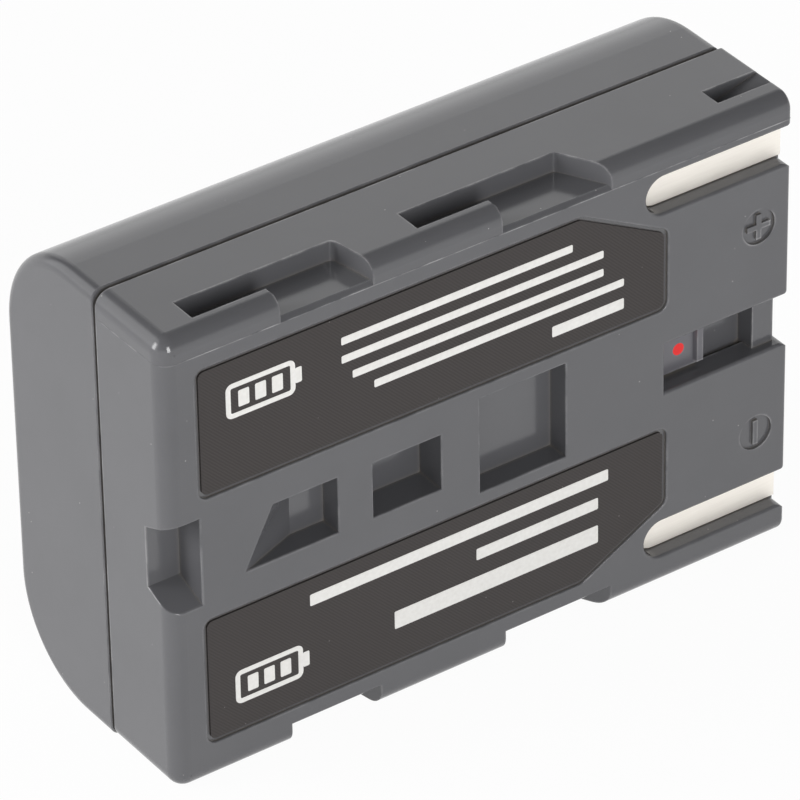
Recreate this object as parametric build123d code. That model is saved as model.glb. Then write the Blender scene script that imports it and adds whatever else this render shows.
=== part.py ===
from build123d import *
import os

# Rechargeable two-cell camera battery pack, in millimetres.
# It stands on a long side: +X runs to the contact end, -Y is the mating face, +Z is up.
# The model is drawn in the pack's own places: x from the plain end, y behind the mating face,
# z from the middle of the width. The last section moves it onto its frame.

# Cells, which set the size of the case
CELL_DIAMETER = 18.2
CELL_LENGTH = 49.5
CELL_GAP = 0.4
CELL_BUTTON_RADIUS = 3.2
CELL_BUTTON_HEIGHT = 0.8
CELL_NECK_DEPTH = 0.5
CELL_NECK_WIDTH = 1.0
CELL_NECK_SETBACK = 2.2
CELL_EDGE_RADIUS = 0.4

# Case walls and the room left around the cells
WALL = 1.5
POCKET_WALL = 0.9
SIDE_GAP = 1.3
BACK_GAP = 0.5
PAD_THICKNESS = 0.7
PAD_WIDTH = 5.0
PAD_LENGTH = 30.0
CELL_END_GAP = 0.4
BOARD_BAY = 4.7
CLEARANCE = 0.1
FIT_GAP = 0.05

# Case outside
SEAM_DEPTH = 9.4
BACK_RADIUS = 9.2
EDGE_RADIUS = 1.4
END_RADIUS = 0.4
WALL_END_RADIUS = 0.8
BACK_EDGE_RADIUS = 1.0
SEAM_CHAMFER = 0.1
SEAM_GROOVE_WIDTH = 0.45
SEAM_GROOVE_DEPTH = 0.4
TONGUE_THICKNESS = 0.6
TONGUE_HEIGHT = 0.9

# Notch in the middle of the plain end, with sloped side walls
NOTCH_LENGTH = 3.0
NOTCH_DEPTH = 3.1
NOTCH_MOUTH = 8.2
NOTCH_FLOOR = 5.6

# Pockets along the middle of the mating face
WEDGE_TIP = 7.0
WEDGE_TOP = 9.7
WEDGE_RAMP_END = 12.6
WEDGE_END = 15.8
WEDGE_DEPTH = 2.1
WEDGE_HEIGHT = 5.2
MIDDLE_START = 19.15
MIDDLE_LENGTH = 6.5
MIDDLE_HEIGHT = 5.14
MIDDLE_DEPTH = 3.0
LARGE_START = 29.4
LARGE_LENGTH = 8.35
LARGE_HEIGHT = 8.92
LARGE_DEPTH = 2.1
MOUTH_RADIUS = 0.12
SLOT_MOUTH_RADIUS = 0.3

# Hooked slots in both long sides: a tab covers the first stretch of each
SLOT_START = 4.15
SLOT_PITCH = 20.8
TAB_LENGTH = 6.8
TAB_THICKNESS = 1.8
TAB_RADIUS = 0.15
SLOT_WIDTH = 2.6
SLOT_DEPTH = 1.8
SILL_CHAMFER = 0.35
FIRST_ENTRY = 7.8
FIRST_FLARE = 0.8
SECOND_ENTRY = 8.1
SECOND_FLARE = 2.4
ENTRY_CORNER = 0.5

# Keyways in both long sides, with floors that slope up to the contact end
KEYWAY_LENGTH = 5.5
KEYWAY_FRONT = 2.5
KEYWAY_WIDTH = 2.1
KEYWAY_DEPTH = 1.7
KEYWAY_END_DEPTH = 0.2

# Label recesses, mirrored about the middle, each with one cut corner
LABEL_START = 3.0
LABEL_END = 12.2
LABEL_INNER = 5.66
LABEL_SIDE_MARGIN = 3.55
LABEL_CUT_LENGTH = 8.5
LABEL_CUT_HEIGHT = 4.5
LABEL_CORNER = 0.9
LABEL_RECESS = 0.3
LABEL_THICKNESS = 0.2
LABEL_EDGE_GAP = 0.35

# Contact slots and their metal strips
CONTACT_LENGTH = 14.3
CONTACT_WIDTH = 3.44
CONTACT_SIDE_MARGIN = 2.9
CONTACT_FLOOR = 1.7
STRIP_THICKNESS = 0.3
STRIP_END_GAP = 0.05
TAIL_WIDTH = 1.8
TAIL_THICKNESS = 0.25
TAIL_REACH = 3.0

# Polarity marks
MARK_RADIUS = 1.6
MARK_DEPTH = 0.25
MARK_END_MARGIN = 3.15
MARK_HEIGHT = 9.95
BAR_LENGTH = 2.3
BAR_WIDTH = 0.5

# Slot for the charge marker, open to the contact end
CHANNEL_LENGTH = 12.4
CHANNEL_WIDTH = 4.66
CHANNEL_FLOOR = 2.8
STOP_START = 2.95
STOP_LENGTH = 2.1
STOP_SETBACK = 0.95
END_NOTCH_DEPTH = 3.2
MARKER_LENGTH = 4.8
MARKER_FACE = 1.65
MARKER_SIDE_GAP = 0.38
MARKER_RIDGE_LENGTH = 0.9
MARKER_RIDGE_HEIGHT = 0.4
MARKER_RIDGE_TAPER = 0.15
MARKER_CORNER = 0.3
DOT_RADIUS = 0.55
DOT_INLAY = 0.25
DOT_PLACE = 2.45
GROOVE_REACH = 0.4
GROOVE_HEIGHT = 0.6

# Protection board in the bay at the contact end, with its parts and connections
BOARD_THICKNESS = 1.0
BOARD_SETBACK = 3.8
BOARD_FRONT = 5.0
BOARD_BACK_GAP = 3.8
BOARD_SIDE_GAP = 2.1
POST_WIDTH = 2.0
POST_PLACE = 11.0
POST_CHEEK = 0.6
POST_GRIP = 1.0
SWITCH_CHIP = (1.0, 3.0, 4.4)
SWITCH_CHIP_PLACE = 6.0
GUARD_CHIP = (1.1, 1.6, 2.9)
GUARD_CHIP_PLACE = -3.0
PASSIVE = (0.5, 0.8, 1.6)
PASSIVE_COUNT = 5
PASSIVE_PITCH = 2.1
PASSIVE_MARGIN = 1.2
NICKEL = 0.2
LINK_WIDTH = 6.0
LINK_OVERHANG = 2.5
TAB_STRIP_WIDTH = 5.0
RING_THICKNESS = 0.25
RING_INNER_GAP = 0.5
RING_EDGE_GAP = 0.6
SHEET_THICKNESS = 0.25
SHEET_EDGE_GAP = 1.0
WIRE_RADIUS = 0.55
WIRE_SETBACK = 4.4
RIB_THICKNESS = 1.2
RIB_HALF_HEIGHT = 7.0
RIB_PLACES = (14.0, 44.0)

# Sizes that follow from the ones above
CELL_RADIUS = CELL_DIAMETER / 2
CELL_START = NOTCH_LENGTH + POCKET_WALL + CELL_END_GAP
CELL_STOP = CELL_START + CELL_LENGTH
CELL_Y = WALL + PAD_THICKNESS + CELL_RADIUS
CELL_Z = CELL_RADIUS + CELL_GAP / 2
LENGTH = CELL_STOP + BOARD_BAY + WALL
HALF = 2 * CELL_RADIUS + CELL_GAP / 2 + SIDE_GAP + WALL
DEPTH = CELL_Y + CELL_RADIUS + BACK_GAP + WALL
RIM = WALL - TONGUE_THICKNESS
SLOT_FLOOR = HALF - SLOT_DEPTH
SLOT_BACK = TAB_THICKNESS + SLOT_WIDTH
SILL = SLOT_FLOOR - SILL_CHAMFER
CONTACT_START = LENGTH - CONTACT_LENGTH
CONTACT_Z = HALF - CONTACT_SIDE_MARGIN - CONTACT_WIDTH / 2
STRIP_FACE = CONTACT_FLOOR - STRIP_THICKNESS
CHANNEL_START = LENGTH - CHANNEL_LENGTH
CHANNEL_HALF = CHANNEL_WIDTH / 2
CHANNEL_STOP = LENGTH - STOP_START
CHANNEL_BACK = CHANNEL_FLOOR + POCKET_WALL
MARKER_START = CHANNEL_START + CLEARANCE
MARKER_STOP = MARKER_START + MARKER_LENGTH
MARKER_HALF = CHANNEL_HALF - MARKER_SIDE_GAP
MARKER_BACK = CHANNEL_FLOOR - FIT_GAP
MARKER_TRAVEL = CHANNEL_STOP - CLEARANCE - MARKER_STOP
GROOVE_FRONT = CHANNEL_FLOOR - GROOVE_HEIGHT
GROOVE_HALF = CHANNEL_HALF + GROOVE_REACH
BOARD_INNER = LENGTH - BOARD_SETBACK - BOARD_THICKNESS
BOARD_OUTER = BOARD_INNER + BOARD_THICKNESS
BOARD_BACK = DEPTH - WALL - BOARD_BACK_GAP
BOARD_HALF = HALF - WALL - BOARD_SIDE_GAP
BOARD_Y = (BOARD_FRONT + BOARD_BACK) / 2
WIRE_Y = DEPTH - WALL - WIRE_SETBACK
RING_OUTER = CELL_RADIUS - RING_EDGE_GAP
RING_INNER = CELL_BUTTON_RADIUS + RING_INNER_GAP
OPEN = 1.0
TOUCH = 0.001


def block(x0, x1, y0, y1, z0, z1):
    """A box between two corners."""
    return Pos((x0 + x1) / 2, (y0 + y1) / 2, (z0 + z1) / 2) * Box(x1 - x0, y1 - y0, z1 - z0)


def rod(x0, x1, y, z, radius):
    """A round bar along x."""
    return Pos((x0 + x1) / 2, y, z) * Rot(0, 90, 0) * Cylinder(radius, x1 - x0)


def plate(outline, y0, y1):
    """A flat outline in x and z, given thickness from y0 to y1."""
    return extrude(Plane.XZ.offset(-y0) * outline, y1 - y0, dir=(0, 1, 0))


def both_sides(shape):
    """A shape and its mirror image about the middle of the width."""
    return shape + mirror(shape, about=Plane.XY)


def cell_space(clearance):
    """The room taken by the two cells, grown by a clearance."""
    upper = rod(CELL_START - clearance, CELL_STOP + clearance, CELL_Y, CELL_Z, CELL_RADIUS + clearance)
    return both_sides(upper)


def inset_block(margin, y0, y1):
    """A box set in from the case's outside by a margin on its four sides."""
    return block(margin, LENGTH - margin, y0, y1, margin - HALF, HALF - margin)


def ring(margin, wall, y0, y1):
    """A rectangular frame set in from the case's outside."""
    return inset_block(margin, y0, y1) - inset_block(margin + wall, y0, y1)


def label_outline():
    """The upper label recess seen on the face, with its cut corner towards the contact end."""
    end = LENGTH - LABEL_END
    top = HALF - LABEL_SIDE_MARGIN
    corners = [
        (LABEL_START, LABEL_INNER),
        (end, LABEL_INNER),
        (end, top - LABEL_CUT_HEIGHT),
        (end - LABEL_CUT_LENGTH, top),
        (LABEL_START, top),
    ]
    sketch = Polygon(*corners, align=None)
    return fillet(sketch.vertices(), LABEL_CORNER)


def wedge_pocket():
    """A pocket whose floor rises along a ramp to a slanted line on the face."""
    half = WEDGE_HEIGHT / 2
    sections = []
    for height, tip in ((half, WEDGE_TOP), (-half, WEDGE_TIP)):
        corners = [(tip, 0), (WEDGE_RAMP_END, 0), (WEDGE_RAMP_END, WEDGE_DEPTH)]
        sections.append(Pos(0, 0, height) * Polygon(*corners, align=None))
    ramp = loft(sections, ruled=True)
    return ramp + block(WEDGE_RAMP_END, WEDGE_END, 0, WEDGE_DEPTH, -half, half)


def face_pockets():
    """The three pockets along the middle of the mating face."""
    middle = block(MIDDLE_START, MIDDLE_START + MIDDLE_LENGTH, 0, MIDDLE_DEPTH,
                   -MIDDLE_HEIGHT / 2, MIDDLE_HEIGHT / 2)
    large = block(LARGE_START, LARGE_START + LARGE_LENGTH, 0, LARGE_DEPTH,
                  -LARGE_HEIGHT / 2, LARGE_HEIGHT / 2)
    return wedge_pocket() + middle + large


def pocket_bosses():
    """The walls behind the three pockets."""
    bosses = []
    spans = (
        (WEDGE_TIP, WEDGE_END, WEDGE_DEPTH, WEDGE_HEIGHT),
        (MIDDLE_START, MIDDLE_START + MIDDLE_LENGTH, MIDDLE_DEPTH, MIDDLE_HEIGHT),
        (LARGE_START, LARGE_START + LARGE_LENGTH, LARGE_DEPTH, LARGE_HEIGHT),
    )
    for start, stop, depth, height in spans:
        reach = height / 2 + POCKET_WALL
        bosses.append(block(start - POCKET_WALL, stop + POCKET_WALL, 0, depth + POCKET_WALL, -reach, reach))
    return bosses[0] + bosses[1] + bosses[2]


def end_notch():
    """The notch in the plain end: its side walls slope in towards the floor."""
    slope = (NOTCH_MOUTH - NOTCH_FLOOR) / 2 / NOTCH_DEPTH
    mouth = NOTCH_MOUTH / 2 + slope * OPEN
    floor = NOTCH_FLOOR / 2
    corners = [(-OPEN, mouth), (NOTCH_DEPTH, floor), (NOTCH_DEPTH, -floor), (-OPEN, -mouth)]
    section = Polygon(*corners, align=None)
    return extrude(Plane.YZ.offset(-OPEN) * section, NOTCH_LENGTH + OPEN, dir=(1, 0, 0))


def slot_floor(x0, x1):
    """What stays under an entry: a flat floor that slopes down to a sill at the mating face."""
    corners = [
        (0, SILL - OPEN),
        (0, SILL),
        (SILL_CHAMFER, SLOT_FLOOR),
        (SLOT_BACK + OPEN, SLOT_FLOOR),
        (SLOT_BACK + OPEN, SILL - OPEN),
    ]
    section = Polygon(*corners, align=None)
    return extrude(Plane.YZ.offset(x0) * section, x1 - x0, dir=(1, 0, 0))


def hooked_slot(start, entry_length, flare):
    """One slot in the upper long side: a stretch behind its tab, then an entry with a slanted end wall."""
    tab_end = start + TAB_LENGTH
    back_end = tab_end + entry_length
    top = HALF + OPEN
    corners = [
        (tab_end, -OPEN),
        (back_end + flare, -OPEN),
        (back_end + flare, 0),
        (back_end, SLOT_BACK),
        (tab_end, SLOT_BACK),
    ]
    plan = Polygon(*corners, align=None)
    plan = fillet(plan.vertices().group_by(Axis.Y)[-1].sort_by(Axis.X)[-1], ENTRY_CORNER)
    entry = extrude(Pos(0, 0, SILL) * plan, top - SILL, dir=(0, 0, 1)) - slot_floor(start, back_end + flare)
    covered = block(start, tab_end, TAB_THICKNESS, SLOT_BACK, SLOT_FLOOR, top)
    shoulder = block(tab_end - TAB_RADIUS, tab_end, -OPEN, TAB_THICKNESS, HALF - TAB_RADIUS, top)
    bend_centre = Pos(tab_end - TAB_RADIUS, 0, HALF - TAB_RADIUS)
    bend = bend_centre * Rot(90, 0, 0) * Cylinder(TAB_RADIUS, 2 * SLOT_BACK)
    return entry + covered + (shoulder - bend)


def side_slots():
    """Both hooked slots of the upper long side."""
    first = hooked_slot(SLOT_START, FIRST_ENTRY, FIRST_FLARE)
    return first + hooked_slot(SLOT_START + SLOT_PITCH, SECOND_ENTRY, SECOND_FLARE)


def keyway():
    """The upper keyway: a groove whose floor slopes up to the contact end."""
    start = LENGTH - KEYWAY_LENGTH
    corners = [
        (start, HALF + OPEN),
        (start, HALF - KEYWAY_DEPTH),
        (LENGTH, HALF - KEYWAY_END_DEPTH),
        (LENGTH + OPEN, HALF - KEYWAY_END_DEPTH),
        (LENGTH + OPEN, HALF + OPEN),
    ]
    section = Polygon(*corners, align=None)
    return extrude(Plane.XZ.offset(-KEYWAY_FRONT) * section, KEYWAY_WIDTH, dir=(0, 1, 0))


def side_bosses():
    """The walls behind the slots and the keyway of the upper long side."""
    slot_end = SLOT_START + SLOT_PITCH + TAB_LENGTH + SECOND_ENTRY + SECOND_FLARE
    slots = block(SLOT_START - POCKET_WALL, slot_end + POCKET_WALL, 0, SLOT_BACK + POCKET_WALL,
                  SLOT_FLOOR - POCKET_WALL, HALF)
    keyway_back = KEYWAY_FRONT + KEYWAY_WIDTH + POCKET_WALL
    return slots + block(LENGTH - KEYWAY_LENGTH - POCKET_WALL, LENGTH, 0, keyway_back,
                         HALF - KEYWAY_DEPTH - POCKET_WALL, HALF)


def contact_outline(margin, end):
    """The contact slot seen on the face: a round inboard end and straight sides, set in by a margin."""
    radius = CONTACT_WIDTH / 2 - margin
    centre = CONTACT_START + CONTACT_WIDTH / 2
    straight = Pos((centre + end) / 2, CONTACT_Z) * Rectangle(end - centre, 2 * radius)
    return straight + Pos(centre, CONTACT_Z) * Circle(radius)


def tail(margin, y0, y1):
    """The strip's tail, which runs from the slot floor to the board's inner face."""
    return block(BOARD_INNER - TAIL_THICKNESS - margin, BOARD_INNER + margin, y0, y1,
                 CONTACT_Z - TAIL_WIDTH / 2 - margin, CONTACT_Z + TAIL_WIDTH / 2 + margin)


def mark_recess(bars):
    """A shallow round recess with raised bars: one for minus, two crossed for plus."""
    place = LENGTH - MARK_END_MARGIN
    disc = Pos(place, MARK_DEPTH / 2, 0) * Rot(90, 0, 0) * Cylinder(MARK_RADIUS, MARK_DEPTH)
    bar = Pos(place, MARK_DEPTH / 2, 0) * Box(BAR_WIDTH, MARK_DEPTH, BAR_LENGTH)
    recess = disc - bar
    if bars == 2:
        recess -= Pos(place, MARK_DEPTH / 2, 0) * Box(BAR_LENGTH, MARK_DEPTH, BAR_WIDTH)
    return recess


def marker_channel():
    """The charge marker's slot with a groove in each wall, its stop and the notch in the contact end."""
    stop_end = CHANNEL_STOP + STOP_LENGTH
    channel = block(CHANNEL_START, CHANNEL_STOP, -OPEN, CHANNEL_FLOOR, -CHANNEL_HALF, CHANNEL_HALF)
    over_stop = block(CHANNEL_STOP, stop_end, -OPEN, STOP_SETBACK, -CHANNEL_HALF, CHANNEL_HALF)
    end_cut = block(stop_end, LENGTH + OPEN, -OPEN, END_NOTCH_DEPTH, -CHANNEL_HALF, CHANNEL_HALF)
    grooves = block(CHANNEL_START, CHANNEL_STOP, GROOVE_FRONT, CHANNEL_FLOOR, -GROOVE_HALF, GROOVE_HALF)
    return channel + over_stop + end_cut + grooves


def board_posts():
    """Two forked posts that hold the board's front edge."""
    post = block(BOARD_INNER - CLEARANCE - POST_CHEEK, BOARD_OUTER + CLEARANCE + POST_CHEEK, 0,
                 BOARD_FRONT + POST_GRIP, POST_PLACE - POST_WIDTH / 2, POST_PLACE + POST_WIDTH / 2)
    slot = block(BOARD_INNER - CLEARANCE, BOARD_OUTER + CLEARANCE, BOARD_FRONT, BOARD_FRONT + POST_GRIP,
                 POST_PLACE - POST_WIDTH / 2, POST_PLACE + POST_WIDTH / 2)
    return both_sides(post - slot)


def end_round(z, side, depth):
    """What is cut to round a slot wall's outer end, from the face to a depth. Side is the wall's own."""
    centre = z + side * WALL_END_RADIUS
    bend = LENGTH - WALL_END_RADIUS
    corner = block(bend, LENGTH + OPEN, -OPEN, depth, min(z, centre), max(z, centre))
    return corner - Pos(bend, 0, centre) * Rot(90, 0, 0) * Cylinder(WALL_END_RADIUS, 2 * (depth + OPEN))


def end_rounds():
    """The rounded outer ends of the walls beside the contact slots and the end notch."""
    half = CONTACT_WIDTH / 2
    rounds = end_round(CONTACT_Z + half, 1, CONTACT_FLOOR) + end_round(CONTACT_Z - half, -1, CONTACT_FLOOR)
    return both_sides(rounds + end_round(CHANNEL_HALF, 1, END_NOTCH_DEPTH))


def on_end_slot(point):
    """Whether a point of the mating face is on the mouth of a slot that is open to the contact end."""
    channel = point.X > CHANNEL_START - TOUCH and abs(point.Z) < CHANNEL_HALF + TOUCH
    contact = point.X > CONTACT_START - TOUCH and abs(point.Z) > CONTACT_Z - CONTACT_WIDTH / 2 - TOUCH
    return channel or contact


def mouth_edges(shell, end_slots):
    """The sharp edges of the end slots' mouths on the mating face, or of all the other mouths on it."""
    found = []
    for edge in shell.edges():
        box = edge.bounding_box()
        centre = edge.center()
        flat = max(abs(box.min.Y), abs(box.max.Y)) < TOUCH
        clear_ends = EDGE_RADIUS + TOUCH < centre.X < LENGTH - END_RADIUS - TOUCH
        clear_sides = abs(centre.Z) < SILL - TOUCH
        if flat and clear_ends and clear_sides and on_end_slot(centre) == end_slots:
            found.append(edge)
    return found


def front_shell():
    """The mating half of the case, with every pocket, slot, recess and mark in it."""
    shell = block(0, LENGTH, 0, SEAM_DEPTH, -HALF, HALF)
    plain_end = shell.faces().sort_by(Axis.X)[0].edges().filter_by(Axis.Y)
    rim = shell.faces().sort_by(Axis.Y)[0].edges().sort_by(Axis.X)[:-1]
    shell = fillet(plain_end + rim, EDGE_RADIUS)
    contact_end = shell.faces().sort_by(Axis.X)[-1].edges()
    shell = fillet([edge for edge in contact_end if edge.center().Y < SEAM_DEPTH - TOUCH], END_RADIUS)
    core = inset_block(SEAM_GROOVE_DEPTH, SEAM_DEPTH - SEAM_GROOVE_WIDTH, SEAM_DEPTH)
    core = fillet(core.edges().filter_by(Axis.Y), EDGE_RADIUS - SEAM_GROOVE_DEPTH)
    shell -= inset_block(-OPEN, SEAM_DEPTH - SEAM_GROOVE_WIDTH, SEAM_DEPTH) - core
    bosses = pocket_bosses() + both_sides(side_bosses())
    reach = NOTCH_MOUTH / 2 + POCKET_WALL
    bosses += block(0, NOTCH_LENGTH + POCKET_WALL, 0, NOTCH_DEPTH + POCKET_WALL, -reach, reach)
    reach = CONTACT_WIDTH / 2 + POCKET_WALL
    bosses += both_sides(block(CONTACT_START - POCKET_WALL, LENGTH, 0, CONTACT_FLOOR + POCKET_WALL,
                               CONTACT_Z - reach, CONTACT_Z + reach))
    reach = CHANNEL_HALF + POCKET_WALL
    bosses += block(CHANNEL_START - POCKET_WALL, LENGTH, 0, CHANNEL_BACK, -reach, reach)
    bosses += block(CHANNEL_STOP, LENGTH, 0, END_NOTCH_DEPTH + POCKET_WALL, -reach, reach)
    bosses += board_posts()
    cavity = inset_block(WALL, WALL, SEAM_DEPTH)
    cavity -= bosses - cell_space(CLEARANCE)
    shell -= cavity
    rebate = TONGUE_THICKNESS + FIT_GAP
    shell -= ring(WALL - rebate, rebate, SEAM_DEPTH - TONGUE_HEIGHT - CLEARANCE, SEAM_DEPTH)
    shell -= face_pockets()
    shell -= end_notch()
    shell -= both_sides(side_slots())
    shell -= both_sides(keyway())
    shell -= both_sides(plate(label_outline(), 0, LABEL_RECESS))
    shell -= both_sides(plate(contact_outline(0, LENGTH + OPEN), -OPEN, CONTACT_FLOOR))
    shell -= both_sides(tail(FIT_GAP, CONTACT_FLOOR, CONTACT_FLOOR + POCKET_WALL))
    shell -= marker_channel()
    shell = fillet(mouth_edges(shell, False), MOUTH_RADIUS)
    shell = fillet(mouth_edges(shell, True), SLOT_MOUTH_RADIUS)
    shell -= end_rounds()
    shell -= Pos(0, 0, MARK_HEIGHT) * mark_recess(2)
    shell -= Pos(0, 0, -MARK_HEIGHT) * mark_recess(1)
    return shell


def back_shell():
    """The rear half of the case: wide rounds along its back, a tongue into the front half, saddle ribs."""
    shell = block(0, LENGTH, SEAM_DEPTH, DEPTH, -HALF, HALF)
    shell = fillet(shell.faces().sort_by(Axis.Y)[-1].edges().filter_by(Axis.X), BACK_RADIUS)
    ends = shell.faces().sort_by(Axis.X)[0].edges() + shell.faces().sort_by(Axis.X)[-1].edges()
    ends = [edge for edge in ends if edge.center().Y > SEAM_DEPTH + SEAM_CHAMFER]
    shell = fillet(ends, BACK_EDGE_RADIUS)
    shell = chamfer(shell.faces().sort_by(Axis.Y)[0].edges(), SEAM_CHAMFER)
    cavity = inset_block(WALL, SEAM_DEPTH, DEPTH - WALL)
    cavity = fillet(cavity.faces().sort_by(Axis.Y)[-1].edges().filter_by(Axis.X), BACK_RADIUS - WALL)
    shell -= cavity
    shell += ring(RIM, TONGUE_THICKNESS, SEAM_DEPTH - TONGUE_HEIGHT, SEAM_DEPTH + SEAM_CHAMFER)
    for place in RIB_PLACES:
        rib = block(place - RIB_THICKNESS / 2, place + RIB_THICKNESS / 2, WIRE_Y + WIRE_RADIUS + CLEARANCE,
                    DEPTH - WALL, -RIB_HALF_HEIGHT, RIB_HALF_HEIGHT)
        shell += rib - cell_space(CLEARANCE)
    return shell


def upper_label():
    """The film in the upper recess."""
    return plate(offset(label_outline(), -LABEL_EDGE_GAP), LABEL_RECESS - LABEL_THICKNESS, LABEL_RECESS)


def upper_contact():
    """A plated strip on the slot floor, with a tail through the wall to the board."""
    strip = plate(contact_outline(CLEARANCE, LENGTH - STRIP_END_GAP), STRIP_FACE, CONTACT_FLOOR)
    return strip + tail(0, STRIP_FACE, BOARD_FRONT + TAIL_REACH)


def charge_marker():
    """The sliding marker: a plate with a nail ridge, and flanges that run in the channel's grooves."""
    body = block(MARKER_START, MARKER_STOP, MARKER_FACE, MARKER_BACK, -MARKER_HALF, MARKER_HALF)
    front_end = body.faces().sort_by(Axis.X)[-1]
    body = fillet(front_end.edges().filter_by(Axis.Y), MARKER_CORNER)
    foot = MARKER_STOP - MARKER_RIDGE_LENGTH
    top = MARKER_FACE - MARKER_RIDGE_HEIGHT
    corners = [
        (foot, MARKER_FACE),
        (foot + MARKER_RIDGE_TAPER, top),
        (MARKER_STOP - MARKER_RIDGE_TAPER, top),
        (MARKER_STOP, MARKER_FACE),
    ]
    profile = Polygon(*corners, align=None)
    reach = MARKER_HALF - MARKER_CORNER
    body += extrude(Pos(0, 0, -reach) * profile, 2 * reach, dir=(0, 0, 1))
    flange_half = GROOVE_HALF - CLEARANCE
    body += block(MARKER_START, MARKER_STOP - MARKER_CORNER, GROOVE_FRONT + CLEARANCE, MARKER_BACK,
                  -flange_half, flange_half)
    return body - marker_dot()


def marker_dot():
    """The round coloured inlay in the marker's face."""
    centre = Pos(MARKER_START + DOT_PLACE, MARKER_FACE + DOT_INLAY / 2, 0)
    return centre * Rot(90, 0, 0) * Cylinder(DOT_RADIUS, DOT_INLAY)


def cell(z, flip):
    """One sealed round cell: a can with a rolled neck and a button that points to the contact end."""
    shoulder = CELL_STOP - CELL_BUTTON_HEIGHT
    can = rod(CELL_START, shoulder, CELL_Y, z, CELL_RADIUS)
    can = fillet(can.edges(), CELL_EDGE_RADIUS)
    neck_end = shoulder - CELL_NECK_SETBACK
    neck = rod(neck_end - CELL_NECK_WIDTH, neck_end, CELL_Y, z, CELL_RADIUS + OPEN)
    can -= neck - rod(neck_end - CELL_NECK_WIDTH, neck_end, CELL_Y, z, CELL_RADIUS - CELL_NECK_DEPTH)
    can += rod(shoulder, CELL_STOP, CELL_Y, z, CELL_BUTTON_RADIUS)
    return turn_over(can) if flip else can


def turn_over(shape):
    """A shape turned end for end about the middle of the cells."""
    middle = (CELL_START + CELL_STOP) / 2
    return mirror(shape, about=Plane.YZ.offset(middle))


def insulator_ring(z, flip):
    """A paper ring around a cell's button."""
    shoulder = CELL_STOP - CELL_BUTTON_HEIGHT
    washer = rod(shoulder, shoulder + RING_THICKNESS, CELL_Y, z, RING_OUTER)
    washer -= rod(shoulder, shoulder + RING_THICKNESS, CELL_Y, z, RING_INNER)
    return turn_over(washer) if flip else washer


def series_link():
    """The nickel strip that joins the two cells at the plain end, with a tongue for the sense wire."""
    reach = CELL_Z + LINK_OVERHANG
    half = LINK_WIDTH / 2
    strip = block(CELL_START - NICKEL, CELL_START, CELL_Y - half, CELL_Y + half, -reach, reach)
    tongue = 2 * WIRE_RADIUS
    return strip + block(CELL_START - NICKEL, CELL_START, CELL_Y, WIRE_Y + WIRE_RADIUS, -tongue, tongue)


def cell_tab(z):
    """A nickel strip from a cell's end to the board: flat on the cell, then bent across the bay."""
    half = TAB_STRIP_WIDTH / 2
    flat = block(CELL_STOP, CELL_STOP + NICKEL, CELL_Y - half, CELL_Y + half, z - half, z + half)
    return flat + block(CELL_STOP, BOARD_INNER, CELL_Y + half - NICKEL, CELL_Y + half, z - half, z + half)


def cell_end_sheet():
    """The insulating paper over the cell ends, slit for the two tabs and the sense wire."""
    x0 = CELL_STOP + NICKEL
    x1 = x0 + SHEET_THICKNESS
    reach = CELL_Z + CELL_RADIUS - SHEET_EDGE_GAP
    front = BOARD_FRONT + SHEET_EDGE_GAP
    sheet = block(x0, x1, front, BOARD_BACK, -reach, reach)
    bend = CELL_Y + TAB_STRIP_WIDTH / 2
    half = TAB_STRIP_WIDTH / 2 + CLEARANCE
    slit = block(x0, x1, bend - NICKEL - CLEARANCE, bend + CLEARANCE, CELL_Z - half, CELL_Z + half)
    sheet -= both_sides(slit)
    return sheet - rod(x0, x1, WIRE_Y, 0, WIRE_RADIUS + CLEARANCE)


def sense_wire():
    """The insulated wire from the link to the board, in the valley behind the two cells."""
    return rod(CELL_START, BOARD_INNER, WIRE_Y, 0, WIRE_RADIUS)


def end_foam():
    """The foam block between the link and the plain end's wall."""
    return block(WALL, CELL_START - NICKEL, CELL_Y - LINK_WIDTH / 2, WIRE_Y + WIRE_RADIUS,
                 -CELL_Z - LINK_OVERHANG, CELL_Z + LINK_OVERHANG)


def adhesive_pad():
    """The tape pad under the upper cell."""
    middle = (CELL_START + CELL_STOP) / 2
    return block(middle - PAD_LENGTH / 2, middle + PAD_LENGTH / 2, WALL, WALL + PAD_THICKNESS - FIT_GAP,
                 CELL_Z - PAD_WIDTH / 2, CELL_Z + PAD_WIDTH / 2)


def protection_board():
    """The board that stands across the contact end."""
    return block(BOARD_INNER, BOARD_OUTER, BOARD_FRONT, BOARD_BACK, -BOARD_HALF, BOARD_HALF)


def board_part(size, z):
    """A part on the board's outer face."""
    thick, deep, high = size
    place = Pos(BOARD_OUTER + thick / 2, BOARD_Y, z)
    return place * Box(thick, deep, high)


def chip_passives():
    """A row of small resistors and capacitors, counted up from the board's lower edge."""
    first = PASSIVE_MARGIN - BOARD_HALF
    places = [first + PASSIVE_PITCH * step for step in range(PASSIVE_COUNT)]
    return Compound(children=[board_part(PASSIVE, place) for place in places])


def mirrored(shape):
    """The mirror image of a shape about the middle of the width."""
    return mirror(shape, about=Plane.XY)


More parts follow.
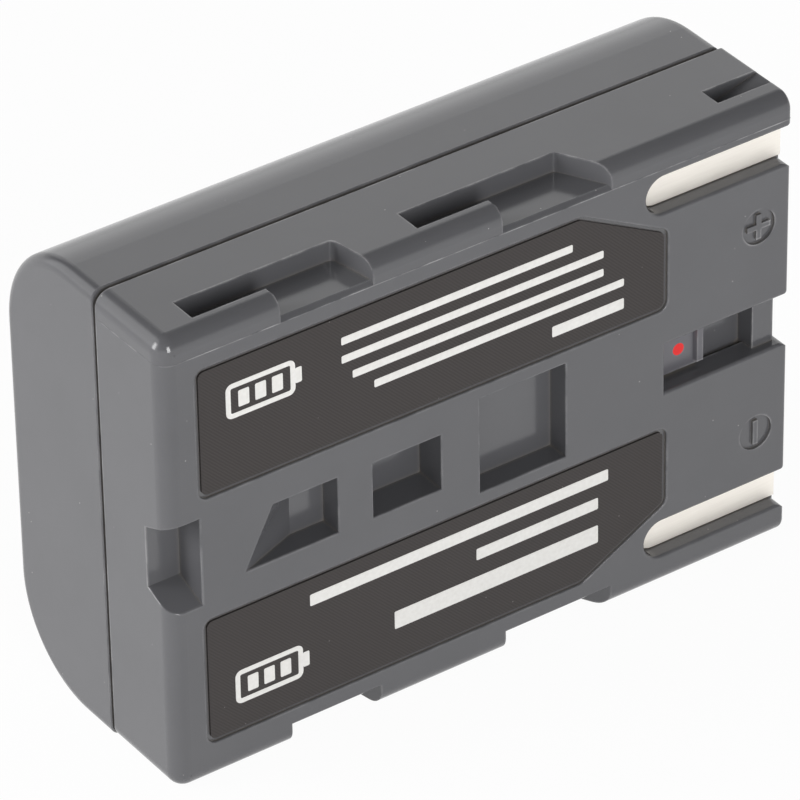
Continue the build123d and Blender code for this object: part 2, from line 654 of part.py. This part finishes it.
# Every piece by its node's name
PIECES = {
    "front_shell": front_shell(),
    "back_shell": back_shell(),
    "upper_label": upper_label(),
    "lower_label": mirrored(upper_label()),
    "positive_contact": upper_contact(),
    "negative_contact": mirrored(upper_contact()),
    "charge_marker": charge_marker(),
    "marker_dot": marker_dot(),
    "upper_cell": cell(CELL_Z, False),
    "lower_cell": cell(-CELL_Z, True),
    "upper_insulator_ring": insulator_ring(CELL_Z, False),
    "lower_insulator_ring": insulator_ring(-CELL_Z, True),
    "series_link": series_link(),
    "positive_tab": cell_tab(CELL_Z),
    "negative_tab": cell_tab(-CELL_Z),
    "cell_end_sheet": cell_end_sheet(),
    "sense_wire": sense_wire(),
    "end_foam": end_foam(),
    "upper_adhesive_pad": adhesive_pad(),
    "lower_adhesive_pad": mirrored(adhesive_pad()),
    "protection_board": protection_board(),
    "switch_chip": board_part(SWITCH_CHIP, SWITCH_CHIP_PLACE),
    "guard_chip": board_part(GUARD_CHIP, GUARD_CHIP_PLACE),
    "chip_passives": chip_passives(),
}

# The origin is under the middle of the pack as it stands on its lower long side
FRAME = Pos(-LENGTH / 2, -DEPTH / 2, HALF)

os.makedirs("parts", exist_ok=True)
for node, piece in PIECES.items():
    export_step(FRAME * piece, f"parts/{node}.step")

print("outside in mm:", round(LENGTH, 3), round(DEPTH, 3), round(2 * HALF, 3))
print("marker travel in mm:", round(MARKER_TRAVEL, 3))
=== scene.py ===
import bmesh
import bpy
import math
import numpy as np
from mathutils import Matrix, Vector


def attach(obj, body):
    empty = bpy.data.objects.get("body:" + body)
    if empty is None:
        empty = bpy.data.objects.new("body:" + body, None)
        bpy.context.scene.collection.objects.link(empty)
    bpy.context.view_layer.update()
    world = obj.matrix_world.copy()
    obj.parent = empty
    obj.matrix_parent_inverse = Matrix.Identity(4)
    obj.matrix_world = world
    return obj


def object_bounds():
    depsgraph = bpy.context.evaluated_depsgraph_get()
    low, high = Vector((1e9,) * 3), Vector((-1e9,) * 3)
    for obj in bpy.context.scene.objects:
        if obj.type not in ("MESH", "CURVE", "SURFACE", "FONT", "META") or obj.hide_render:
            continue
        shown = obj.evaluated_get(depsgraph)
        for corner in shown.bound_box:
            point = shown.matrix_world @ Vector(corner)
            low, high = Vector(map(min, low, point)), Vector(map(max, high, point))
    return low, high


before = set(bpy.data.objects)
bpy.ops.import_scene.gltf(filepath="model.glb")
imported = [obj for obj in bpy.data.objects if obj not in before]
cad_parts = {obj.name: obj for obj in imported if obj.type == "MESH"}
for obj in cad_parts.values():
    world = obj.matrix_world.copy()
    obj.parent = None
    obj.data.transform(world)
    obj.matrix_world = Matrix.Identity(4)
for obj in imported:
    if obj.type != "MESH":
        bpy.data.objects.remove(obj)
cad_low, cad_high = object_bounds()

MM = 0.001

# The case as the solids give it, in millimetres: x from the plain end, y behind the mating face and
# z from the middle
LENGTH, _, HEIGHT = [(high - low) / MM for low, high in zip(cad_low, cad_high)]
ORIGIN = np.array([cad_low[0], cad_low[1], (cad_low[2] + cad_high[2]) / 2])
EDGE_RADIUS = 1.4
END_RADIUS = 0.4
SEAM_SIDE = 8.6
LABEL_FACE = 0.1

# Camera: a long lens, above and to the left of the mating face
EYE_MM = (-259.8, -375.55, 332.2)
AIM_MM = (-2.8, -3.4, 22.2)
ROLL_DEG = -1.01
FOCAL_PIXELS = 6928.0
PHOTO_PIXELS = 800
SENSOR_MM = 36.0
VIEW_LIMIT_MM = 100000.0

# Finishes: the size in millimetres of what each surface shows
CLOUD_SIZE = 7.0
DUST_SPACING = 1.9
GAP_REACH = 0.7
EDGE_REACH = 0.2
EDGE_PATCH_SIZE = 2.2
TOOL_GRAIN = 0.16
TOOL_GRAIN_DEPTH = 0.01
HATCH_SPACING = 0.23
HATCH_DEPTH = 0.01
FILM_CLOUD_SIZE = 5.0
INK_MESH = 0.35
METAL_LINE = 0.15
METAL_LINE_DEPTH = 0.005
PAPER_FIBRE = 0.25
FOAM_CELL = 0.7
TAPE_CELL = 0.3
SHEET_DEPTH = 0.03
GLASS_WEAVE = 0.5
DUST_COLOUR = "#d8d6d2"
# A pale dust colour that also serves as painted light in narrow gaps, where shade falls
GAP_DUST_AND_LIGHT_COLOUR = "#8a8377"
# A pale colour for rubbed edges, which is also a painted highlight along them
RUB_AND_HIGHLIGHT_COLOUR = "#c6c5c6"
PAPER_COLOUR = "#f4f4f4"
WHITE = "#ffffff"

# The spacing of a diagonal wave across the film, in cells of its texture
WAVE_CELLS = math.pi * math.sqrt(2) / 10

# A metal's drawn or rolled lines: the pattern's scale along x, y and z, where a small scale stretches them
LINES_ALONG_X = (0.06, 1.0, 1.0)
CAN_LINES_ALONG_X = (0.05, 1.0, 1.0)
LINES_ALONG_Z = (1.0, 1.0, 0.06)

# Mould line: a thin raised line round the mating half, under the slots of the upper long side
LINE_HEIGHT = 19.0
LINE_HALF_WIDTH = 0.05
LINE_RISE = 0.025
LINE_ARC_STEPS = 10
LINE_AROUND = 8

# Ink on the label films: bars as centre x, centre z, length and height, and an outlined cell sign
INK_RISE = 0.02
INK_FACE = LABEL_FACE - INK_RISE
INK_BACK = LABEL_FACE + INK_RISE
INK_CORNER = 0.12
CORNER_STEPS = 6
UPPER_BARS = [
    (40.0, 7.9, 7.0, 1.0),
    (31.5, 9.9, 24.0, 0.7),
    (29.5, 11.6, 24.0, 0.7),
    (29.0, 13.3, 25.0, 0.7),
    (27.5, 15.0, 22.0, 0.7),
]
LOWER_BARS = [
    (27.5, -8.0, 29.0, 1.1),
    (35.0, -10.4, 12.0, 1.1),
    (31.0, -13.4, 20.0, 1.7),
]
SIGN_SIZE = (6.4, 3.2)
SIGN_LINE = 0.45
SIGN_CORNER = 0.6
SIGN_NUB = (0.6, 1.4)
SIGN_BARS = 3
SIGN_BAR = (1.0, 1.5)
SIGN_PITCH = 1.55
UPPER_SIGN = (9.0, 13.6)
LOWER_SIGN = (9.0, -13.4)

# Lamps: bearing from the contact end's axis, height angle, distance, width, height and power
LEFT_LAMP = (160.0, 20.0, 800.0, 230.0, 480.0, 2.5)
FRONT_LAMP = (-104.0, 20.0, 800.0, 230.0, 480.0, 3.5)
# Lit parts of the wall: bearing, height angle, the angles where each starts and ends to fade, and strength
SIDE_WALL = (145.0, 16.0, 28.0, 48.0, 1.65)
BACK_WALL = (55.0, 18.0, 6.0, 36.0, 1.32)
# The wall fades to the ceiling between two heights, each the sine of the height angle
HORIZON_LIGHT = 1.0
CEILING_LIGHT = 0.15
FADE_START = 0.05
FADE_END = 0.35
FLOOR_SIZE = 24000.0
FLOOR_GAP = 0.02
FLOOR_GLOW = 0.96


def linear(hex_colour):
    """An sRGB hex colour as linear red, green, blue and a full alpha."""
    parts = [int(hex_colour[i:i + 2], 16) / 255 for i in (1, 3, 5)]
    return tuple(v / 12.92 if v <= 0.04045 else ((v + 0.055) / 1.055) ** 2.4 for v in parts) + (1.0,)


def grain(size_mm):
    """The texture scale at which one cell is this many millimetres."""
    return 1 / (size_mm * MM)


def add(tree, kind, links=None, **settings):
    """Adds a node. Settings name its properties or inputs, links join an input to a node's output."""
    node = tree.nodes.new(kind)
    for name, value in settings.items():
        if hasattr(node, name):
            setattr(node, name, value)
        else:
            node.inputs[name.replace("_", " ")].default_value = value
    for name, source in (links or {}).items():
        tree.links.new(source, node.inputs[name])
    return node


def empty_tree(owner):
    """The node tree of a material or a world, with nothing in it yet."""
    owner.use_nodes = True
    owner.node_tree.nodes.clear()
    return owner.node_tree


def new_material(name):
    """A node material, its tree and the place on the object."""
    material = bpy.data.materials.new(name)
    tree = empty_tree(material)
    return material, tree, add(tree, "ShaderNodeTexCoord").outputs["Object"]


def finish_shader(tree, links, **settings):
    """The surface shader and the output of a material."""
    shader = add(tree, "ShaderNodeBsdfPrincipled", links, **settings)
    add(tree, "ShaderNodeOutputMaterial", {"Surface": shader.outputs[0]})


def dusted(tree, place, base, share):
    """A colour with a few pale specks of dust on it, one at the middle of each cell of a scatter."""
    speck = add(tree, "ShaderNodeTexVoronoi", {"Vector": place}, Scale=grain(DUST_SPACING))
    spot = add(tree, "ShaderNodeMapRange", {"Value": speck.outputs["Distance"]},
               From_Min=0.012, From_Max=0.032, To_Min=share, To_Max=0.0)
    dusty = add(tree, "ShaderNodeMixRGB", {"Fac": spot.outputs[0], "Color1": base},
                Color2=linear(DUST_COLOUR))
    return dusty.outputs[0]


def moulded_plastic(name, colour, shade, low, high, dust=0.0, edge_wear_and_highlight=0.0, gap_dust_and_light=0.0):
    """Plastic moulded in a spark-eroded tool: an even colour with slow clouds, a satin sheen that varies
    with a fine grain, edges rubbed pale in places with a painted highlight on them, narrow gaps lifted by
    pale dust and painted light, and a few specks of dust."""
    material, tree, place = new_material(name)
    cloud = add(tree, "ShaderNodeTexNoise", {"Vector": place}, Scale=grain(CLOUD_SIZE), Detail=3.0)
    tint = add(tree, "ShaderNodeMixRGB", {"Fac": cloud.outputs["Fac"]},
               Color1=linear(shade), Color2=linear(colour))
    dusty = dusted(tree, place, tint.outputs[0], dust)
    # Painted light: narrow gaps, where shade falls, are mixed towards a pale dust colour that lifts their
    # shade.
    gap = add(tree, "ShaderNodeAmbientOcclusion", samples=4, Distance=GAP_REACH * MM)
    gap_dust_and_light_share = add(tree, "ShaderNodeMapRange", {"Value": gap.outputs["AO"]},
                 From_Min=0.45, From_Max=0.15, To_Min=0.0, To_Max=gap_dust_and_light)
    gap_dusted_and_lit = add(tree, "ShaderNodeMixRGB", {"Fac": gap_dust_and_light_share.outputs[0], "Color1": dusty},
                Color2=linear(GAP_DUST_AND_LIGHT_COLOUR))
    # Where the solid is thin behind the surface, its outer edges have been rubbed, and a pale painted
    # highlight lies along them in patches.
    edge = add(tree, "ShaderNodeAmbientOcclusion", samples=4, inside=True, only_local=True,
               Distance=EDGE_REACH * MM)
    edge_wear_and_highlight_share = add(tree, "ShaderNodeMapRange", {"Value": edge.outputs["AO"]},
                From_Min=0.9, From_Max=0.5, To_Min=0.0, To_Max=edge_wear_and_highlight)
    patch = add(tree, "ShaderNodeTexNoise", {"Vector": place}, Scale=grain(EDGE_PATCH_SIZE), Detail=4.0)
    edge_patches = add(tree, "ShaderNodeMapRange", {"Value": patch.outputs["Fac"]}, From_Min=0.38, From_Max=0.62)
    worn_and_highlit = add(tree, "ShaderNodeMath", {0: edge_wear_and_highlight_share.outputs[0], 1: edge_patches.outputs[0]}, operation="MULTIPLY")
    rubbed_and_highlit = add(tree, "ShaderNodeMixRGB", {"Fac": worn_and_highlit.outputs[0], "Color1": gap_dusted_and_lit.outputs[0]},
                 Color2=linear(RUB_AND_HIGHLIGHT_COLOUR))
    # The tool's grain is about 0.05 mm. It is drawn about three times as coarse, so that it shows.
    pits = add(tree, "ShaderNodeTexNoise", {"Vector": place}, Scale=grain(TOOL_GRAIN), Detail=2.0)
    sheen = add(tree, "ShaderNodeMapRange", {"Value": pits.outputs["Fac"]}, To_Min=low, To_Max=high)
    relief = add(tree, "ShaderNodeBump", {"Height": pits.outputs["Fac"]},
                 Strength=0.35, Distance=TOOL_GRAIN_DEPTH * MM)
    finish_shader(tree, {"Base Color": rubbed_and_highlit.outputs[0], "Roughness": sheen.outputs[0],
                         "Normal": relief.outputs[0]}, IOR=1.56)
    return material


def laminated_film(name, colour, shade, dust):
    """Printed polyester film under a matt laminate: dark, with a fine slanted hatch that breaks up the
    light, and a few specks of dust."""
    material, tree, place = new_material(name)
    # The hatch is about 0.2 mm apart. It is drawn a little coarser, so that it shows.
    hatch = add(tree, "ShaderNodeTexWave", {"Vector": place}, bands_direction="DIAGONAL",
                Scale=grain(HATCH_SPACING) * WAVE_CELLS, Distortion=0.6, Detail=1.0)
    tint = add(tree, "ShaderNodeMixRGB", {"Fac": hatch.outputs["Fac"]},
               Color1=linear(shade), Color2=linear(colour))
    dusty = dusted(tree, place, tint.outputs[0], dust)
    cloud = add(tree, "ShaderNodeTexNoise", {"Vector": place}, Scale=grain(FILM_CLOUD_SIZE), Detail=4.0)
    sheen = add(tree, "ShaderNodeMapRange", {"Value": cloud.outputs["Fac"]}, To_Min=0.38, To_Max=0.52)
    relief = add(tree, "ShaderNodeBump", {"Height": hatch.outputs["Fac"]},
                 Strength=0.3, Distance=HATCH_DEPTH * MM)
    finish_shader(tree, {"Base Color": dusty, "Roughness": sheen.outputs[0], "Normal": relief.outputs[0]},
                  Specular_IOR_Level=0.3)
    return material


def screen_ink(name, colour, shade):
    """Screen-printed ink: nearly white and matt, a little thin where the mesh left less of it."""
    material, tree, place = new_material(name)
    mesh = add(tree, "ShaderNodeTexNoise", {"Vector": place}, Scale=grain(INK_MESH), Detail=3.0)
    tint = add(tree, "ShaderNodeMixRGB", {"Fac": mesh.outputs["Fac"]},
               Color1=linear(shade), Color2=linear(colour))
    finish_shader(tree, {"Base Color": tint.outputs[0]}, Roughness=0.55)
    return material


def drawn_metal(name, colour, shade, low, high, stretch):
    """Plated or drawn metal: fine lines along one way, which stretch the light a little."""
    material, tree, place = new_material(name)
    along = add(tree, "ShaderNodeMapping", {"Vector": place}, Scale=stretch)
    lines = add(tree, "ShaderNodeTexNoise", {"Vector": along.outputs[0]},
                Scale=grain(METAL_LINE), Detail=3.0)
    tint = add(tree, "ShaderNodeMixRGB", {"Fac": lines.outputs["Fac"]},
               Color1=linear(shade), Color2=linear(colour))
    sheen = add(tree, "ShaderNodeMapRange", {"Value": lines.outputs["Fac"]}, To_Min=low, To_Max=high)
    relief = add(tree, "ShaderNodeBump", {"Height": lines.outputs["Fac"]},
                 Strength=0.2, Distance=METAL_LINE_DEPTH * MM)
    finish_shader(tree, {"Base Color": tint.outputs[0], "Roughness": sheen.outputs[0],
                         "Normal": relief.outputs[0]}, Metallic=1.0)
    return material


def pressed_sheet(name, colour, shade, size_mm):
    """Paper, foam or tape: a matt sheet with fibres or cells of the given size."""
    material, tree, place = new_material(name)
    cells = add(tree, "ShaderNodeTexVoronoi", {"Vector": place}, Scale=grain(size_mm))
    tint = add(tree, "ShaderNodeMixRGB", {"Fac": cells.outputs["Distance"]},
               Color1=linear(shade), Color2=linear(colour))
    relief = add(tree, "ShaderNodeBump", {"Height": cells.outputs["Distance"]},
                 Strength=0.4, Distance=SHEET_DEPTH * MM)
    finish_shader(tree, {"Base Color": tint.outputs[0], "Normal": relief.outputs[0]}, Roughness=0.85)
    return material


def masked_board(name, colour, shade):
    """Glass-epoxy board under solder mask: the glass weave shows faintly through the green."""
    material, tree, place = new_material(name)
    weave = add(tree, "ShaderNodeTexChecker", {"Vector": place}, Scale=grain(GLASS_WEAVE),
                Color1=linear(colour), Color2=linear(shade))
    finish_shader(tree, {"Base Color": weave.outputs[0]}, Roughness=0.3, Coat_Weight=0.5)
    return material


def dress(material, *nodes):
    """Gives CAD nodes one material."""
    for name in nodes:
        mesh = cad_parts[name].data
        mesh.materials.clear()
        mesh.materials.append(material)


# The grey plastics get pale dust and painted light in narrow gaps, and rubbed edges with a painted
# highlight.
grey_abs = moulded_plastic("moulded ABS, dark grey", "#5e5e61", "#57575a", low=0.11, high=0.18,
                           dust=0.6, edge_wear_and_highlight=0.45, gap_dust_and_light=0.8)
dress(grey_abs, "front_shell", "back_shell")
dress(moulded_plastic("moulded ABS, marker grey", "#656469", "#5e5d62", low=0.2, high=0.28,
                      dust=0.4, edge_wear_and_highlight=0.5, gap_dust_and_light=0.5), "charge_marker")
dress(moulded_plastic("moulded ABS, red", "#f01f1f", "#e41c1c", low=0.4, high=0.5), "marker_dot")
dress(laminated_film("laminated polyester film", "#3d3938", "#34302f", dust=0.3),
      "upper_label", "lower_label")
dress(drawn_metal("nickel-plated copper", "#fffcf6", "#f6f1ea", low=0.62, high=0.75, stretch=LINES_ALONG_X),
      "positive_contact", "negative_contact")
dress(drawn_metal("deep-drawn nickel-plated steel", "#a3a6a9", "#92959a", low=0.25, high=0.4,
                  stretch=CAN_LINES_ALONG_X), "upper_cell", "lower_cell")
dress(drawn_metal("rolled pure nickel", "#c8c6bf", "#b8b6af", low=0.2, high=0.35, stretch=LINES_ALONG_Z),
      "series_link", "positive_tab", "negative_tab")
dress(pressed_sheet("vulcanised fibre paper", "#cdc1a0", "#bdb190", PAPER_FIBRE),
      "upper_insulator_ring", "lower_insulator_ring", "cell_end_sheet")
dress(pressed_sheet("closed-cell foam", "#343436", "#28282a", FOAM_CELL), "end_foam")
dress(pressed_sheet("acrylic foam tape", "#e6e2d6", "#d8d4c8", TAPE_CELL),
      "upper_adhesive_pad", "lower_adhesive_pad")
dress(moulded_plastic("vinyl sleeve", "#c8b43a", "#baa732", low=0.35, high=0.45), "sense_wire")
dress(masked_board("glass-epoxy board", "#1f5e3c", "#1b5336"), "protection_board")
dress(moulded_plastic("epoxy moulding compound", "#1f1f21", "#19191b", low=0.5, high=0.65),
      "switch_chip", "guard_chip", "chip_passives")


def put_in_scene(name, data):
    """A new object in the scene that shows a mesh, a lamp or a camera."""
    item = bpy.data.objects.new(name, data)
    bpy.context.scene.collection.objects.link(item)
    return item


def piece_from_rings(name, surfaces, material):
    """One mesh from closed rings of points: quads join each ring to the next. A surface's ends are either
    capped, or its last ring joins its first."""
    points, faces, first = [], [], 0
    for rings, capped in surfaces:
        count, around = rings.shape[:2]
        ring = np.arange(count - 1 if capped else count)[:, None] * np.ones(around, int)
        step = np.arange(around) * np.ones_like(ring)
        corners = [(ring, step), (ring, step + 1), (ring + 1, step + 1), (ring + 1, step)]
        quads = np.stack([first + r % count * around + s % around for r, s in corners], axis=-1)
        faces += quads.reshape(-1, 4).tolist()
        if capped:
            ends = first + np.array([[0], [(count - 1) * around]]) + np.arange(around)
            faces += ends.tolist()
        points.append(rings.reshape(-1, 3) * MM + ORIGIN)
        first += count * around
    mesh = bpy.data.meshes.new(name)
    mesh.from_pydata(np.concatenate(points).tolist(), [], faces)
    work = bmesh.new()
    work.from_mesh(mesh)
    bmesh.ops.recalc_face_normals(work, faces=work.faces)
    work.to_mesh(mesh)
    work.free()
    mesh.materials.append(material)
    piece = put_in_scene(name, mesh)
    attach(piece, "case")


def rounded_outline(centre, size, corner):
    """A rounded rectangle on the label: four quarter circles of the corner radius, moved out to its
    corners."""
    turn = np.linspace(0, np.pi / 2, CORNER_STEPS) + np.arange(4)[:, None] * np.pi / 2
    sides = np.array([[1, 1], [-1, 1], [-1, -1], [1, -1]])[:, None]
    arcs = corner * np.stack([np.cos(turn), np.sin(turn)], axis=-1)
    return (np.array(centre) + sides * (np.array(size) / 2 - corner) + arcs).reshape(-1, 2)


def at_depth(outline, y):
    """A flat outline's points in x and z at one depth."""
    return np.stack([outline[:, 0], np.full(len(outline), y), outline[:, 1]], axis=-1)


def ink_bar(centre, size):
    """A patch of ink: one outline at the ink's face and the same outline just inside the film."""
    outline = rounded_outline(centre, size, INK_CORNER)
    return np.stack([at_depth(outline, INK_FACE), at_depth(outline, INK_BACK)]), True


def ink_frame(centre, size, line):
    """An outlined box of ink: the outer and the inner outline, each at the face and inside the film, in a
    loop."""
    outer = rounded_outline(centre, size, SIGN_CORNER)
    inner = rounded_outline(centre, np.array(size) - 2 * line, SIGN_CORNER - line)
    loop = [(outer, INK_FACE), (outer, INK_BACK), (inner, INK_BACK), (inner, INK_FACE)]
    return np.stack([at_depth(outline, y) for outline, y in loop]), False


def cell_sign(centre):
    """A plain cell sign: an outlined box, its nub and three level bars."""
    x, z = centre
    nub = ink_bar((x + SIGN_SIZE[0] / 2 + SIGN_NUB[0] / 2, z), SIGN_NUB)
    levels = [ink_bar((x + SIGN_PITCH * (i - (SIGN_BARS - 1) / 2), z), SIGN_BAR) for i in range(SIGN_BARS)]
    return [ink_frame(centre, SIGN_SIZE, SIGN_LINE), nub] + levels


ink = screen_ink("screen-printed white ink", "#f4f3f0", "#e2e0dc")
for name, bars, sign in (("upper_print", UPPER_BARS, UPPER_SIGN), ("lower_print", LOWER_BARS, LOWER_SIGN)):
    patches = [ink_bar(bar[:2], bar[2:]) for bar in bars]
    piece_from_rings(name, patches + cell_sign(sign), ink)


def case_outline():
    """The case's outline in x and y from the seam at the plain end to the seam at the contact end: straight
    runs joined by quarter circles of the two edge radii."""
    turn = np.linspace(0, np.pi / 2, LINE_ARC_STEPS)
    first = EDGE_RADIUS * (1 - np.stack([np.cos(turn), np.sin(turn)], axis=-1))
    second = END_RADIUS * np.stack([np.sin(turn) - 1, 1 - np.cos(turn)], axis=-1) + (LENGTH, 0)
    return np.concatenate([[(0, SEAM_SIDE)], first, second, [(LENGTH, SEAM_SIDE)]])


def mould_line(height):
    """A raised line: an ellipse across the outline, half of it sunk, carried along the outline at one
    height."""
    path = case_outline()
    along = np.gradient(path, axis=0)
    along /= np.linalg.norm(along, axis=1, keepdims=True)
    outward = np.stack([along[:, 1], -along[:, 0]], axis=-1)
    turn = np.linspace(0, 2 * np.pi, LINE_AROUND, endpoint=False)
    flat = path[:, None] + outward[:, None] * LINE_RISE * np.cos(turn)[:, None]
    level = np.full(flat.shape[:2], height) + LINE_HALF_WIDTH * np.sin(turn)
    return np.concatenate([flat, level[..., None]], axis=-1)


piece_from_rings("mould_line", [(mould_line(LINE_HEIGHT), True)], grey_abs)


def place_camera():
    """A camera at the eye, turned to the aim and rolled about its own axis."""
    data = bpy.data.cameras.new("camera")
    data.sensor_width = SENSOR_MM
    data.lens = FOCAL_PIXELS / PHOTO_PIXELS * SENSOR_MM
    data.clip_end = VIEW_LIMIT_MM * MM
    camera = put_in_scene("camera", data)
    eye = Vector(EYE_MM) * MM
    aim = Vector(AIM_MM) * MM
    turn = (aim - eye).to_track_quat("-Z", "Y").to_matrix().to_4x4()
    camera.matrix_world = Matrix.Translation(eye) @ turn @ Matrix.Rotation(math.radians(ROLL_DEG), 4, "Z")
    bpy.context.scene.camera = camera


def toward(bearing, rise):
    """The direction at a bearing and a height angle in degrees."""
    turn, lift = math.radians(bearing), math.radians(rise)
    return Vector((math.cos(turn) * math.cos(lift), math.sin(turn) * math.cos(lift), math.sin(lift)))


def place_lamp(name, bearing, rise, distance, width, height, power):
    """An upright softbox that faces the middle of the pack."""
    data = bpy.data.lights.new(name, "AREA")
    data.shape = "RECTANGLE"
    data.size = width * MM
    data.size_y = height * MM
    data.energy = power
    lamp = put_in_scene(name, data)
    way = toward(bearing, rise)
    lamp.location = Vector((0, 0, HEIGHT / 2 * MM)) + way * distance * MM
    lamp.rotation_euler = (-way).to_track_quat("-Z", "Y").to_euler()


def seen_rays(tree):
    """1 for a ray from the camera, a mirror or glass, and 0 for any other."""
    path = add(tree, "ShaderNodeLightPath").outputs
    seen = path["Is Camera Ray"]
    for kind in ("Is Glossy Ray", "Is Transmission Ray"):
        seen = add(tree, "ShaderNodeMath", {0: seen, 1: path[kind]}, operation="MAXIMUM").outputs[0]
    return seen


def studio_floor():
    """A pale floor: one flat square under the pack. It is seen nearly white and keeps the pack's shadow."""
    material = bpy.data.materials.new("studio paper")
    tree = empty_tree(material)
    glow = add(tree, "ShaderNodeEmission", Color=linear(WHITE), Strength=1.0)
    paper = add(tree, "ShaderNodeBsdfDiffuse", Color=linear(PAPER_COLOUR))
    share = add(tree, "ShaderNodeMapRange", {"Value": seen_rays(tree)}, To_Min=0.0, To_Max=FLOOR_GLOW)
    mixed = add(tree, "ShaderNodeMixShader", {0: share.outputs[0], 1: paper.outputs[0], 2: glow.outputs[0]})
    add(tree, "ShaderNodeOutputMaterial", {"Surface": mixed.outputs[0]})
    sides = np.array([[-1, -1], [1, -1], [1, 1], [-1, 1]]) * FLOOR_SIZE / 2
    corners = np.concatenate([sides, np.full((len(sides), 1), -FLOOR_GAP)], axis=1) * MM
    mesh = bpy.data.meshes.new("floor")
    mesh.from_pydata(corners.tolist(), [], [(0, 1, 2, 3)])
    mesh.materials.append(material)
    floor = put_in_scene("floor", mesh)


def lit_wall(tree, way, bearing, rise, core, rim, strength):
    """A round part of the wall that is lit: full strength inside the core angle, none outside the rim
    angle, and a smooth step of the angle's cosine between them."""
    middle = toward(bearing, rise)
    aim = add(tree, "ShaderNodeCombineXYZ", X=middle.x, Y=middle.y, Z=middle.z)
    near = add(tree, "ShaderNodeVectorMath", {0: way, 1: aim.outputs[0]}, operation="DOT_PRODUCT")
    glow = add(tree, "ShaderNodeMapRange", {"Value": near.outputs["Value"]}, interpolation_type="SMOOTHSTEP",
               From_Min=math.cos(math.radians(rim)), From_Max=math.cos(math.radians(core)),
               To_Min=0.0, To_Max=strength)
    return glow.outputs[0]


def studio_world():
    """A white wall all round that fades to a darker ceiling, with two lit parts. Where they overlap, the
    brightest counts."""
    world = bpy.data.worlds.new("studio")
    tree = empty_tree(world)
    way = add(tree, "ShaderNodeTexCoord").outputs["Generated"]
    height = add(tree, "ShaderNodeSeparateXYZ", {"Vector": way}).outputs["Z"]
    level = add(tree, "ShaderNodeMapRange", {"Value": height}, From_Min=FADE_START, From_Max=FADE_END,
                To_Min=HORIZON_LIGHT, To_Max=CEILING_LIGHT).outputs[0]
    for wall in (SIDE_WALL, BACK_WALL):
        lit = lit_wall(tree, way, *wall)
        level = add(tree, "ShaderNodeMath", {0: level, 1: lit}, operation="MAXIMUM").outputs[0]
    light = add(tree, "ShaderNodeBackground", {"Strength": level}, Color=linear(WHITE))
    add(tree, "ShaderNodeOutputWorld", {"Surface": light.outputs[0]})
    bpy.context.scene.world = world


place_camera()
place_lamp("left softbox", *LEFT_LAMP)
place_lamp("front softbox", *FRONT_LAMP)
studio_floor()
studio_world()
bpy.context.scene.view_settings.view_transform = "Standard"
